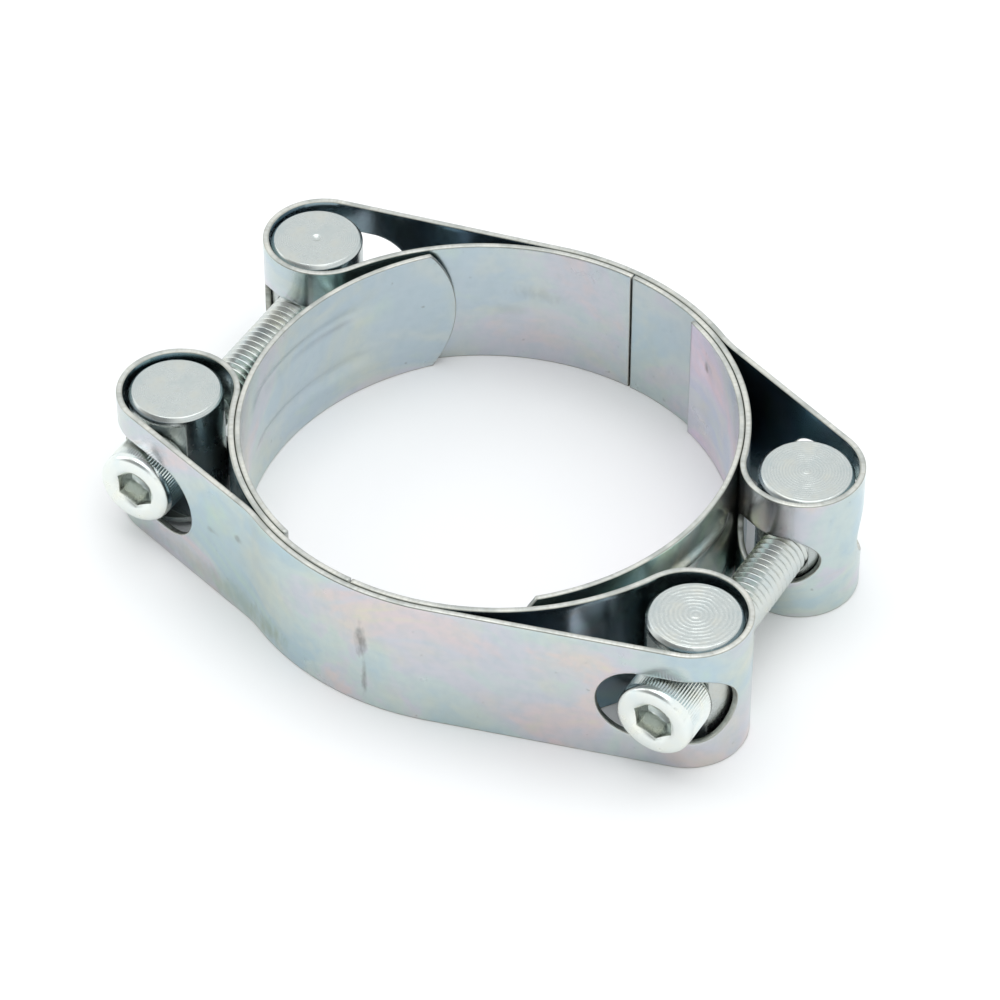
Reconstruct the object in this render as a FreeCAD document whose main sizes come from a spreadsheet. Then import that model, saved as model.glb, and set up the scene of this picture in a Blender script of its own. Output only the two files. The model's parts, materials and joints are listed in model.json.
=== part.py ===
"""Two-screw band clamp for pipe and hose, modelled at real size in millimetres.

Row frame: the origin is the centre of the clamped circle on the plane the clamp
lies on, +Z runs along the pipe, and +Y is the direction that both screws point in,
from their heads at the front to their nuts at the rear.

Half frame: each half band is drawn with its own middle on +Y and its gap on y = 0.
The two halves are the same strip turned half a turn apart.
"""
import FreeCAD, Part
import math
import os
import Sketcher
from FreeCAD import Placement, Rotation, Vector

# name, millimetres or degrees, what it measures
DRIVING_DIMENSIONS = [
    ("strip_width", 24.0, "height of the bands, along the pipe"),
    ("strip_gauge", 1.0, "thickness of the band strip"),
    ("ring_radius", 42.6, "middle of the strip where it returns inside"),
    ("layer_gap", 0.1, "air between the returned layer and the outer strip"),
    ("loop_radius", 9.45, "middle of the strip round a trunnion"),
    ("lug_height", 20.7, "loop centre above the gap line of its half"),
    ("seam_gap", 0.3, "air where the two returned ends meet"),
    ("arm_leave_angle", 63.0, "where the outer strip leaves the ring for the right loop"),
    ("arm_bend_radius", 22.0, "middle of the strip in the hollow bend there"),
    ("rear_tilt", 6.4, "turn of the rear half out of square with the screws"),
    ("front_tilt", 2.8, "turn of the front half: the left gap stands wider than the right"),
    ("head_slot_turn", 30.7, "turn of the outer slot's plane from the gap line"),
    ("head_slot_left", 14.1, "left outer slot's reach from the loop centre to the middle"),
    ("rear_slot_right", 14.7, "the same for the right outer slot of the rear band"),
    ("front_slot_right", 16.8, "the same for the right outer slot of the front band"),
    ("head_slot_outer", 7.2, "outer slot's reach from the loop centre outwards"),
    ("head_slot_width", 13.2, "outer slot, along the pipe: it lets the head through"),
    ("shank_slot_length", 15.0, "slot on the gap side, along the strip"),
    ("shank_slot_width", 9.2, "slot on the gap side, along the pipe"),
    ("tongue_gauge", 0.9, "thickness of a bridging tongue"),
    ("tongue_gap", 0.1, "air between a tongue and the returned layer"),
    ("tongue_weld_angle", 70.0, "straight, welded end of a tongue"),
    ("tongue_bend_angle", 20.0, "where a tongue leaves the returned layer"),
    ("right_tongue_spring", 1.6, "extra radius of the right tongue past that bend: it springs out"),
    ("left_tongue_spring", 2.9, "extra radius of the left tongue, which springs out further"),
    ("tongue_free_angle", 48.0, "apex of the free end, past the gap line"),
    ("tongue_end_radius", 19.0, "rounding of the free end"),
    ("rib_depth", 0.3, "depth of a pressed rib"),
    ("rib_width", 1.6, "width of a pressed rib"),
    ("rib_spread", 10.2, "distance between the two ribs"),
    ("rib_angle", 50.0, "arc that a rib covers"),
    ("rib_middle", 5.0, "middle of a rib past the gap line"),
    ("trunnion_diameter", 15.4, "trunnion bar"),
    ("trunnion_length", 22.8, "trunnion bar, along the pipe"),
    ("trunnion_chamfer", 0.65, "broken edge at both ends"),
    ("trunnion_out", 48.65, "trunnion axis from the middle of the half"),
    ("trunnion_up", 20.3, "trunnion axis above the gap line"),
    ("trunnion_dimple", 1.1, "radius of the turning centre in each end"),
    ("flat_offset", 5.6, "milled seat from the trunnion axis"),
    ("flat_rim", 1.6, "full round left above and below the milled seat"),
    ("thread_diameter", 8.0, "M8 thread"),
    ("bore_clearance", 0.1, "air round the thread, on the radius"),
    ("seat_clearance", 0.05, "air under the head"),
    ("screw_length", 55.0, "shank under the head"),
    ("tip_chamfer", 0.9, "bevel at the screw's end"),
    ("head_diameter", 12.8, "socket cap head"),
    ("head_height", 8.0, "socket cap head"),
    ("head_chamfer", 1.0, "bevel round the head's face"),
    ("socket_size", 6.0, "hexagon key size, across flats"),
    ("socket_depth", 4.2, "depth of the hexagon"),
    ("socket_cone", 1.2, "drill point below the hexagon"),
]
OVERCUT = 1.0  # how far a cutting sketch reaches past what it cuts


class Size:
    """A size worked out from the sheet: its value, and the expression that binds it."""

    def __init__(self, value, text):
        self.value = value
        self.text = text

    def __add__(self, other):
        return combine(self, "+", other)

    def __sub__(self, other):
        return combine(self, "-", other)

    def __mul__(self, other):
        return combine(self, "*", other)

    def __truediv__(self, other):
        return combine(self, "/", other)

    def __neg__(self):
        return combine(0.0, "-", self)


OPERATIONS = {
    "+": lambda a, b: a + b,
    "-": lambda a, b: a - b,
    "*": lambda a, b: a * b,
    "/": lambda a, b: a / b,
}


def as_size(number):
    return number if isinstance(number, Size) else Size(float(number), repr(float(number)))


def combine(first, sign, second):
    first = as_size(first)
    second = as_size(second)
    value = OPERATIONS[sign](first.value, second.value)
    return Size(value, f"({first.text} {sign} {second.text})")


def cosine(angle):
    return Size(math.cos(math.radians(angle.value)), f"cos({angle.text})")


def sine(angle):
    return Size(math.sin(math.radians(angle.value)), f"sin({angle.text})")


class Dimensions:
    """The driving sheet, read back as one Size per alias."""

    def __init__(self, document):
        sheet = document.addObject("Spreadsheet::Sheet", "Dimensions")
        for row, (alias, value, note) in enumerate(DRIVING_DIMENSIONS, start=1):
            sheet.set(f"A{row}", str(value))
            sheet.set(f"B{row}", note)
            sheet.setAlias(f"A{row}", alias)
        document.recompute()
        for alias, _, _ in DRIVING_DIMENSIONS:
            setattr(self, alias, Size(float(sheet.get(alias)), f"Dimensions.{alias}"))


document = FreeCAD.newDocument("BandClamp")
d = Dimensions(document)

# ---------------------------------------------------------------- sketch helpers


def origin_plane(body, role):
    return next(item for item in body.Origin.OriginFeatures if item.Role == role)


def new_sketch(body, name, role, shift=None, turn=None):
    """A sketch on an origin plane, moved along the plane's own axes and turned
    about the plane's own second axis."""
    sketch = body.newObject("Sketcher::SketchObject", name)
    sketch.AttachmentSupport = (origin_plane(body, role), [""])
    sketch.MapMode = "FlatFace"
    sketch.AttachmentOffset = Placement(Vector(), Rotation(Vector(0, 1, 0), 0))
    for axis, size in (shift or {}).items():
        sketch.setExpression(f"AttachmentOffset.Base.{axis}", size.text)
    if turn is not None:
        sketch.setExpression("AttachmentOffset.Rotation.Angle", turn.text)
    return sketch


def fix(sketch, kind, *arguments):
    """Adds a constraint whose last argument is a Size, and binds it to the sheet."""
    *geometry, size = arguments
    index = sketch.addConstraint(Sketcher.Constraint(kind, *geometry, size.value))
    sketch.setExpression(f"Constraints[{index}]", size.text)


def fix_angle(sketch, line, size):
    """Fixes the direction of a line from the sketch's first axis."""
    angle = math.radians(size.value)
    index = sketch.addConstraint(Sketcher.Constraint("Angle", line, angle))
    sketch.setExpression(f"Constraints[{index}]", size.text)


def tie(sketch, kind, *geometry):
    sketch.addConstraint(Sketcher.Constraint(kind, *geometry))


def place_point(sketch, curve, end, x, y):
    """Fixes one end of a curve at x, y from the sketch's origin."""
    for kind, size, axis in (("DistanceX", x, -2), ("DistanceY", y, -1)):
        if abs(as_size(size).value) < 1e-9:
            tie(sketch, "PointOnObject", curve, end, axis)
        else:
            fix(sketch, kind, -1, 1, curve, end, as_size(size))


def outline(sketch, points):
    """A closed outline of straight lines through points given as pairs of sizes."""
    spots = [Vector(as_size(x).value, as_size(y).value, 0) for x, y in points]
    lines = []
    for start, stop in zip(spots, spots[1:] + spots[:1]):
        lines.append(sketch.addGeometry(Part.LineSegment(start, stop), False))
    for line, following in zip(lines, lines[1:] + lines[:1]):
        tie(sketch, "Coincident", line, 2, following, 1)
    for line, (x, y) in zip(lines, points):
        place_point(sketch, line, 1, x, y)


def circle(sketch, x, y, radius):
    centre = Vector(as_size(x).value, as_size(y).value, 0)
    ring = sketch.addGeometry(Part.Circle(centre, Vector(0, 0, 1), radius.value), False)
    place_point(sketch, ring, 3, x, y)
    fix(sketch, "Radius", ring, radius)


def arc(sketch, centre, radius, start, stop):
    """An arc that runs anticlockwise between two angles in radians."""
    full = Part.Circle(centre, Vector(0, 0, 1), radius)
    return sketch.addGeometry(Part.ArcOfCircle(full, start, stop), False)


def on_circle(centre, radius, angle):
    return centre + Vector(math.cos(angle), math.sin(angle), 0) * radius


def obround(sketch, left, right, height, width):
    """A slot with round ends: its two end centres lie width / 2 inside left and right."""
    radius = width / 2
    ends = [left + radius, right - radius]
    spots = [Vector(end.value, height.value, 0) for end in ends]
    near = arc(sketch, spots[0], radius.value, math.pi / 2, 3 * math.pi / 2)
    far = arc(sketch, spots[1], radius.value, -math.pi / 2, math.pi / 2)
    up = Vector(0, radius.value, 0)
    low = sketch.addGeometry(Part.LineSegment(spots[0] - up, spots[1] - up), False)
    high = sketch.addGeometry(Part.LineSegment(spots[1] + up, spots[0] + up), False)
    for joint in ((near, 2, low, 1), (low, 2, far, 1), (far, 2, high, 1), (high, 2, near, 1)):
        tie(sketch, "Tangent", *joint)
    tie(sketch, "Equal", near, far)
    tie(sketch, "Horizontal", low)
    fix(sketch, "Radius", near, radius)
    place_point(sketch, near, 3, ends[0], height)
    fix(sketch, "DistanceX", -1, 1, far, 3, ends[1])


def hexagon(sketch, across_flats):
    """A regular hexagon about the sketch's origin, with two flats upright."""
    corner = across_flats / math.sqrt(3)
    spots = [on_circle(Vector(), corner.value, math.radians(30 + 60 * i)) for i in range(6)]
    sides = []
    for start, stop in zip(spots, spots[1:] + spots[:1]):
        sides.append(sketch.addGeometry(Part.LineSegment(start, stop), False))
    guide = sketch.addGeometry(Part.Circle(Vector(), Vector(0, 0, 1), corner.value), True)
    tie(sketch, "Coincident", guide, 3, -1, 1)
    fix(sketch, "Radius", guide, corner)
    for side, following in zip(sides, sides[1:] + sides[:1]):
        tie(sketch, "Coincident", side, 2, following, 1)
        tie(sketch, "PointOnObject", side, 1, guide)
    for side in sides[1:]:
        tie(sketch, "Equal", sides[0], side)
    tie(sketch, "Vertical", sides[5])


# ---------------------------------------------------------------- feature helpers


def pad(body, name, sketch, length):
    feature = body.newObject("PartDesign::Pad", name)
    feature.Profile = sketch
    feature.setExpression("Length", length.text)
    document.recompute()
    return feature


def cut(body, name, kind, sketch, **settings):
    """A Pocket or Groove, which has to take material away."""
    before = body.Shape.Volume
    feature = body.newObject(f"PartDesign::{kind}", name)
    feature.Profile = sketch
    for setting, value in settings.items():
        if isinstance(value, Size):
            feature.setExpression(setting, value.text)
        else:
            setattr(feature, setting, value)
    document.recompute()
    if not body.Shape.Volume < before - 1e-3:
        raise RuntimeError(f"{body.Label}: {name} cuts nothing")
    return feature


def pocket(body, name, sketch, **settings):
    return cut(body, name, "Pocket", sketch, **settings)


def groove(body, name, sketch, **settings):
    return cut(body, name, "Groove", sketch, ReferenceAxis=(sketch, ["V_Axis"]), **settings)


def new_body(label):
    body = document.addObject("PartDesign::Body", label)
    body.Label = label
    return body


def settle(body, x, y, z, turn=None):
    """Puts a finished body in the row frame, turned about +Z."""
    body.Placement = Placement(Vector(), Rotation(Vector(0, 0, 1), 0))
    for axis, size in (("x", x), ("y", y), ("z", z)):
        body.setExpression(f"Placement.Base.{axis}", as_size(size).text)
    if turn is not None:
        body.setExpression("Placement.Rotation.Angle", turn.text)
    document.recompute()


def tilt(end):
    return d.rear_tilt if end > 0 else d.front_tilt


def settle_in_half(body, end):
    """Puts a body drawn in the half frame into the rear (+1) or front (-1) half.
    A half that turns also slides sideways, so that its trunnions stay on the screws."""
    half_turn = 360.0 if end > 0 else 180.0
    slide = d.trunnion_up * sine(tilt(end)) * -end
    settle(body, slide, 0, 0, as_size(half_turn) - tilt(end))


# ---------------------------------------------------------------- shared sizes

mid_height = d.strip_width / 2
outer_radius = d.ring_radius + d.strip_gauge + d.layer_gap
tongue_outer = d.ring_radius - d.strip_gauge / 2 - d.tongue_gap
tongue_inner = tongue_outer - d.tongue_gauge
screw_offset = d.trunnion_out * (cosine(d.rear_tilt) + cosine(d.front_tilt)) / 2


def trunnion_y(side, end):
    """Trunnion axis along Y. side: -1 left, +1 right. end: -1 front, +1 rear."""
    level = d.trunnion_up * cosine(tilt(end)) * end
    return level - d.trunnion_out * sine(tilt(end)) * side


# ---------------------------------------------------------------- bands


def band_path(body):
    """The middle line of the strip: returned layer, loop, outer strip, loop, returned layer.
    The right arm runs straight into a hollow bend, and the left arm touches the ring."""
    ring = d.ring_radius.value
    loop = d.loop_radius.value
    outer = outer_radius.value
    reach = ring + loop
    lug_angle = math.asin(d.lug_height.value / reach)
    arm_angle = lug_angle + math.acos((outer - loop) / reach)
    centre = Vector()
    right_lug = Vector(reach * math.cos(lug_angle), d.lug_height.value, 0)
    left_lug = Vector(-right_lug.x, right_lug.y, 0)
    seam_angle = math.pi / 2 + d.seam_gap.value / ring
    bend = d.arm_bend_radius.value
    leave_angle = math.radians(d.arm_leave_angle.value)
    hollow = on_circle(centre, outer + bend, leave_angle)
    span = hollow - right_lug
    right_arm_angle = math.atan2(span.y, span.x) - math.acos((bend + loop) / span.Length)

    path = new_sketch(body, "StripPath", "XY_Plane")
    right_return = arc(path, centre, ring, lug_angle, math.pi / 2)
    right_loop = arc(path, right_lug, loop, lug_angle + math.pi, right_arm_angle + 2 * math.pi)
    right_arm = path.addGeometry(Part.LineSegment(
        on_circle(right_lug, loop, right_arm_angle),
        on_circle(hollow, bend, right_arm_angle + math.pi)), False)
    right_bend = arc(path, hollow, bend, leave_angle + math.pi, right_arm_angle + math.pi)
    crown = arc(path, centre, outer, leave_angle, math.pi - arm_angle)
    left_arm = path.addGeometry(Part.LineSegment(
        on_circle(centre, outer, math.pi - arm_angle),
        on_circle(left_lug, loop, math.pi - arm_angle)), False)
    left_loop = arc(path, left_lug, loop, math.pi - arm_angle, 2 * math.pi - lug_angle)
    left_return = arc(path, centre, ring, seam_angle, math.pi - lug_angle)

    for ring_arc in (right_return, crown, left_return):
        tie(path, "Coincident", ring_arc, 3, -1, 1)
    joints = [
        (right_return, 1, right_loop, 1),
        (right_loop, 2, right_arm, 1),
        (right_arm, 2, right_bend, 2),
        (right_bend, 1, crown, 1),
        (crown, 2, left_arm, 1),
        (left_arm, 2, left_loop, 1),
        (left_loop, 2, left_return, 2),
    ]
    for joint in joints:
        tie(path, "Tangent", *joint)
    fix(path, "Radius", right_return, d.ring_radius)
    fix(path, "Radius", right_loop, d.loop_radius)
    fix(path, "Radius", right_bend, d.arm_bend_radius)
    fix(path, "Radius", crown, outer_radius)
    tie(path, "Equal", right_return, left_return)
    tie(path, "Equal", right_loop, left_loop)
    fix(path, "DistanceY", -1, 1, right_loop, 3, d.lug_height)
    fix(path, "DistanceY", -1, 1, left_loop, 3, d.lug_height)
    tie(path, "PointOnObject", right_return, 2, -2)
    fix(path, "DistanceX", left_return, 1, -1, 1, d.seam_gap)
    spoke = path.addGeometry(Part.LineSegment(
        centre, on_circle(centre, outer, leave_angle)), True)
    tie(path, "Coincident", spoke, 1, -1, 1)
    tie(path, "Coincident", spoke, 2, crown, 1)
    fix_angle(path, spoke, d.arm_leave_angle)
    document.recompute()
    return path, right_lug.x


def add_slots(body, name, side, lug_x, inner):
    """The slots of one loop: the outer one lets the head through, and the one on the gap
    side lets the shank swing. The outer slot's plane stands on the loop's centre."""
    head_hole = new_sketch(body, f"{name}HeadSlotSketch", "XZ_Plane",
                           shift={"x": lug_x, "z": -d.lug_height}, turn=d.head_slot_turn * -side)
    ends = sorted((inner * -side, d.head_slot_outer * side), key=lambda end: end.value)
    obround(head_hole, *ends, mid_height, d.head_slot_width)
    document.recompute()
    pocket(body, f"{name}HeadSlot", head_hole, Type="ThroughAll")

    shank_hole = new_sketch(body, f"{name}ShankSlotSketch", "XZ_Plane", shift={"x": lug_x})
    half_slot = d.shank_slot_length / 2
    obround(shank_hole, -half_slot, half_slot, mid_height, d.shank_slot_width)
    document.recompute()
    pocket(body, f"{name}ShankSlot", shank_hole, Type="Length", Length=d.lug_height)


def make_band(label, end, right_reach):
    """One half band: a single strip with a loop and two slots at each end."""
    body = new_body(label)
    path, lug_out = band_path(body)

    section = new_sketch(body, "StripSection", "YZ_Plane")
    inside = d.ring_radius - d.strip_gauge / 2
    outside = d.ring_radius + d.strip_gauge / 2
    outline(section, [(inside, 0), (outside, 0), (outside, d.strip_width), (inside, d.strip_width)])
    document.recompute()
    strip = body.newObject("PartDesign::AdditivePipe", "BentStrip")
    strip.Profile = section
    strip.Spine = (path, [])
    strip.Mode = "Standard"
    strip.Transition = "Transformed"
    document.recompute()

    for name, side, inner in (("Right", 1, right_reach), ("Left", -1, d.head_slot_left)):
        add_slots(body, name, side, as_size(lug_out * side), inner)
    settle_in_half(body, end)
    return body


# ---------------------------------------------------------------- tongues


def from_hub(hub, radius, angle):
    """Where the ray from the origin at an angle meets a circle, and that point's angle
    about the circle's centre."""
    ray = on_circle(Vector(), 1.0, angle)
    along = ray.dot(hub)
    point = ray * (along + math.sqrt(radius ** 2 - hub.dot(hub) + along ** 2))
    return point, math.atan2(point.y - hub.y, point.x - hub.x)


def make_tongue(label, end, extra_radius):
    """A curved plate that bridges the gap under one screw, drawn beside the right lug.
    It follows the returned layer, then springs outwards on a larger radius."""
    body = new_body(label)
    weld = math.radians(d.tongue_weld_angle.value)
    bend = math.radians(d.tongue_bend_angle.value)
    tip = -math.radians(d.tongue_free_angle.value)
    spring = extra_radius.value
    centre = Vector()
    hub = on_circle(centre, -spring, bend)

    plate = new_sketch(body, "PlateSketch", "XY_Plane")
    near = []
    far = []
    free_ends = []
    for radius in (tongue_inner, tongue_outer):
        near.append(arc(plate, centre, radius.value, bend, weld))
        free_end, hub_angle = from_hub(hub, radius.value + spring, tip)
        far.append(arc(plate, hub, radius.value + spring, hub_angle, bend))
        free_ends.append(free_end)
        tie(plate, "Coincident", near[-1], 3, -1, 1)
        tie(plate, "Tangent", near[-1], 1, far[-1], 2)
        fix(plate, "Radius", near[-1], radius)
    tie(plate, "Coincident", far[0], 3, far[1], 3)
    fix(plate, "Radius", far[0], tongue_inner + extra_radius)

    welded_edge = plate.addGeometry(Part.LineSegment(
        on_circle(centre, tongue_inner.value, weld),
        on_circle(centre, tongue_outer.value, weld)), False)
    free_edge = plate.addGeometry(Part.LineSegment(*free_ends), False)
    for edge, arcs, end_point in ((welded_edge, near, 2), (free_edge, far, 1)):
        tie(plate, "Coincident", arcs[0], end_point, edge, 1)
        tie(plate, "Coincident", arcs[1], end_point, edge, 2)
        tie(plate, "PointOnObject", -1, 1, edge)
    fix_angle(plate, welded_edge, d.tongue_weld_angle)
    fix_angle(plate, free_edge, -d.tongue_free_angle)

    spoke = plate.addGeometry(Part.LineSegment(
        centre, on_circle(centre, tongue_inner.value, bend)), True)
    tie(plate, "Coincident", spoke, 1, -1, 1)
    tie(plate, "Coincident", spoke, 2, near[0], 1)
    fix_angle(plate, spoke, d.tongue_bend_angle)
    document.recompute()
    pad(body, "Plate", plate, d.strip_width)

    add_round_end(body)
    add_ribs(body, extra_radius)
    settle_in_half(body, end)
    return body


def add_round_end(body):
    """Rounds the free end of a tongue, as seen square to the plate."""
    sketch = new_sketch(body, "EndSketch", "XZ_Plane", turn=-(d.tongue_free_angle + 90))
    radius = d.tongue_end_radius
    hub = Vector(-radius.value, mid_height.value, 0)
    swing = math.asin((mid_height.value + OVERCUT) / radius.value)
    low = on_circle(hub, radius.value, -swing)
    high = on_circle(hub, radius.value, swing)
    beyond = Vector(OVERCUT, 0, 0)
    round_end = arc(sketch, hub, radius.value, -swing, swing)
    spots = [high, Vector(beyond.x, high.y, 0), Vector(beyond.x, low.y, 0), low]
    top, side, bottom = [
        sketch.addGeometry(Part.LineSegment(start, stop), False)
        for start, stop in zip(spots[:-1], spots[1:])
    ]
    for joint in ((round_end, 2, top, 1), (top, 2, side, 1),
                  (side, 2, bottom, 1), (bottom, 2, round_end, 1)):
        tie(sketch, "Coincident", *joint)
    tie(sketch, "Horizontal", top)
    tie(sketch, "Horizontal", bottom)
    fix(sketch, "Radius", round_end, radius)
    place_point(sketch, round_end, 3, -radius, mid_height)
    place_point(sketch, side, 1, OVERCUT, d.strip_width + OVERCUT)
    place_point(sketch, side, 2, OVERCUT, -OVERCUT)
    document.recompute()
    pocket(body, "RoundEnd", sketch, Type="ThroughAll")


def add_ribs(body, extra_radius):
    """Two shallow pressed channels along the inside of a tongue, about its sprung centre."""
    sketch = new_sketch(body, "RibSketch", "XZ_Plane", turn=-d.rib_middle, shift={
        "x": -extra_radius * cosine(d.tongue_bend_angle),
        "z": extra_radius * sine(d.tongue_bend_angle),
    })
    wall = tongue_inner + extra_radius
    for side in (-1, 1):
        level = mid_height + d.rib_spread / 2 * side
        low = level - d.rib_width / 2
        high = level + d.rib_width / 2
        outline(sketch, [
            (wall - OVERCUT, low),
            (wall + d.rib_depth, low),
            (wall + d.rib_depth, high),
            (wall - OVERCUT, high),
        ])
    document.recompute()
    groove(body, "Ribs", sketch, Midplane=True, Angle=d.rib_angle)


# ---------------------------------------------------------------- trunnions


def make_trunnion(label, side, end):
    """A cross-bored bar that sits in a loop. The front ones have a milled seat for the head."""
    body = new_body(label)
    radius = d.trunnion_diameter / 2
    section = new_sketch(body, "BarSketch", "XY_Plane")
    circle(section, 0, 0, radius)
    document.recompute()
    bar = pad(body, "Bar", section, d.trunnion_length)

    rims = [
        f"Edge{number}"
        for number, edge in enumerate(bar.Shape.Edges, start=1)
        if isinstance(edge.Curve, Part.Circle)
    ]
    broken = body.newObject("PartDesign::Chamfer", "BrokenEdges")
    broken.Base = (bar, rims)
    broken.setExpression("Size", d.trunnion_chamfer.text)
    document.recompute()

    cross = new_sketch(body, "BoreSketch", "XZ_Plane", shift={"z": radius + OVERCUT})
    circle(cross, 0, d.trunnion_length / 2, d.thread_diameter / 2 + d.bore_clearance)
    document.recompute()
    pocket(body, "CrossBore", cross, Type="ThroughAll")

    centres = new_sketch(body, "DimpleSketch", "XZ_Plane")
    dimple = d.trunnion_dimple
    top = d.trunnion_length
    outline(centres, [(0, 0), (dimple, 0), (0, dimple / 2)])
    outline(centres, [(0, top), (0, top - dimple / 2), (dimple, top)])
    document.recompute()
    groove(body, "TurningCentres", centres, Angle=as_size(360.0))

    if end < 0:
        seat = new_sketch(body, "SeatSketch", "XY_Plane", shift={"z": top - d.flat_rim})
        wide = radius + OVERCUT
        outline(seat, [(-wide, -wide), (wide, -wide), (wide, -d.flat_offset), (-wide, -d.flat_offset)])
        document.recompute()
        pocket(body, "HeadSeat", seat, Type="Length", Length=top - d.flat_rim * 2)

    settle(body, screw_offset * side, trunnion_y(side, end), mid_height - d.trunnion_length / 2)
    return body


# ---------------------------------------------------------------- screws


def make_screw(label, side):
    """A socket head cap screw along +Y, drawn from the underside of its head."""
    body = new_body(label)
    head = d.head_diameter / 2
    shank = d.thread_diameter / 2
    face = -d.head_height
    profile = new_sketch(body, "TurnedProfile", "XY_Plane")
    outline(profile, [
        (0, face),
        (head - d.head_chamfer, face),
        (head, face + d.head_chamfer),
        (head, 0),
        (shank, 0),
        (shank, d.screw_length - d.tip_chamfer),
        (shank - d.tip_chamfer, d.screw_length),
        (0, d.screw_length),
    ])
    document.recompute()
    turned = body.newObject("PartDesign::Revolution", "TurnedBlank")
    turned.Profile = profile
    turned.ReferenceAxis = (profile, ["V_Axis"])
    turned.Angle = 360.0
    document.recompute()

    key = new_sketch(body, "SocketSketch", "XZ_Plane", shift={"z": d.head_height})
    hexagon(key, d.socket_size)
    document.recompute()
    pocket(body, "HexSocket", key, Type="Length", Length=d.socket_depth)

    drill = new_sketch(body, "DrillPointSketch", "XY_Plane")
    floor = face + d.socket_depth
    outline(drill, [(0, floor), (d.socket_size / 2, floor), (0, floor + d.socket_cone)])
    document.recompute()
    groove(body, "DrillPoint", drill, Angle=as_size(360.0))

    seat_level = trunnion_y(side, -1) - d.flat_offset - d.seat_clearance
    settle(body, screw_offset * side, seat_level, mid_height)
    return body


# ---------------------------------------------------------------- the clamp


def build_clamp():
    """Every piece of the clamp. A tongue is drawn at +X, so the front half's lies at -X."""
    pieces = [
        make_band("rear_band", 1, d.rear_slot_right),
        make_band("front_band", -1, d.front_slot_right),
        make_tongue("right_tongue", 1, d.right_tongue_spring),
        make_tongue("left_tongue", -1, d.left_tongue_spring),
    ]
    for side, name in ((-1, "left"), (1, "right")):
        pieces.append(make_trunnion(f"{name}_front_trunnion", side, -1))
        pieces.append(make_trunnion(f"{name}_nut_trunnion", side, 1))
        pieces.append(make_screw(f"{name}_screw", side))
    return pieces


def check(pieces):
    for item in document.Objects:
        if {"Invalid", "Error"} & set(item.State):
            raise RuntimeError(f"{item.Name} failed: {item.State}")
        if item.TypeId == "Sketcher::SketchObject" and not item.FullyConstrained:
            raise RuntimeError(f"{item.Name} is not fully constrained")
    for piece in pieces:
        if piece.Shape.isNull() or not piece.Shape.isValid() or len(piece.Shape.Solids) != 1:
            raise RuntimeError(f"{piece.Label} is not one valid solid")


def export(pieces):
    os.makedirs("parts", exist_ok=True)
    for piece in pieces:
        piece.Shape.exportStep(f"parts/{piece.Label}.step")
        box = piece.Shape.BoundBox
        print(f"{piece.Label}: {piece.Shape.Volume:.1f} mm3, "
              f"x {box.XMin:.2f} to {box.XMax:.2f}, y {box.YMin:.2f} to {box.YMax:.2f}, "
              f"z {box.ZMin:.2f} to {box.ZMax:.2f}")


clamp = build_clamp()
document.recompute()
check(clamp)
export(clamp)
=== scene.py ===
import json
import math

import bpy
import bmesh
import numpy as np
from mathutils import Matrix, Vector, noise


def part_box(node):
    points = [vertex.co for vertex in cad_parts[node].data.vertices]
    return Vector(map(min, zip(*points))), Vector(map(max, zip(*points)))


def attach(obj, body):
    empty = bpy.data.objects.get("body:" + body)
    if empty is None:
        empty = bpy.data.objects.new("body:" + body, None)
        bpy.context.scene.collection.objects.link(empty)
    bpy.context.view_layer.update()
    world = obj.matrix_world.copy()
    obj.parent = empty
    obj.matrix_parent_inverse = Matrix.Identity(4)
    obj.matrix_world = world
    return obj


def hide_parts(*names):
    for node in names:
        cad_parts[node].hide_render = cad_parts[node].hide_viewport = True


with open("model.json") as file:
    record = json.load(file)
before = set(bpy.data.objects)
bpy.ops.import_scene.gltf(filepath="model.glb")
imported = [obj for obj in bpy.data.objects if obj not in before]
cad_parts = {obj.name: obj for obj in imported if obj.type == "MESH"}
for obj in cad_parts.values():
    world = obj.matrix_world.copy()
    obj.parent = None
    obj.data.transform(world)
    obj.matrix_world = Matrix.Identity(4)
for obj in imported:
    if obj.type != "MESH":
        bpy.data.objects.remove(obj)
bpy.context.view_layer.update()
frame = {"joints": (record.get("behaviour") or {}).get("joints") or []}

MM = 0.001

# ---------------------------------------------------------------- design sizes

GAUGE = 1.0 * MM  # band strip
RING = 42.6 * MM  # middle of the returned layer
LAYER_GAP = 0.1 * MM
LOOP = 9.45 * MM  # middle of the strip round a trunnion
LUG_HEIGHT = 20.7 * MM
SEAM_GAP = 0.3 * MM
ARM_LEAVE = math.radians(63.0)  # where the outer strip leaves the ring for the right loop
ARM_BEND = 22.0 * MM
TRUNNION_OUT = 48.65 * MM
TRUNNION_UP = 20.3 * MM
HEAD_SLOT_LEFT = {"turn": math.radians(30.7), "inner": 14.1 * MM, "outer": 7.2 * MM, "width": 13.2 * MM}
HEAD_SLOT_RIGHT = {
    "rear": {**HEAD_SLOT_LEFT, "inner": 14.7 * MM},
    "front": {**HEAD_SLOT_LEFT, "inner": 16.8 * MM},
}
SHANK_SLOT = {"turn": 0.0, "inner": 7.5 * MM, "outer": 7.5 * MM, "width": 9.2 * MM}
SLOT_MARGIN = 2.0 * MM  # strip before and after a slot that its patch takes in
SLOT_RINGS = 6
SLOT_RING_POWER = 1.25  # over 1: rings closer together at the slot
PATTERN_STEP = 0.5 * MM
PATTERN_ROW = 1.0 * MM
EDGE_ROUND = 0.16 * MM
BURR = 0.035 * MM
BURR_LENGTH = 0.9 * MM
TONGUE_GAUGE = 0.9 * MM
TONGUE_MIDDLE = 41.55 * MM  # middle of a tongue along its welded part
TONGUE_SPRING = {"right": 1.6 * MM, "left": 2.9 * MM}
TONGUE_WELD = math.radians(70.0)
TONGUE_BEND = math.radians(20.0)
TONGUE_TIP = math.radians(-48.0)
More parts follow.
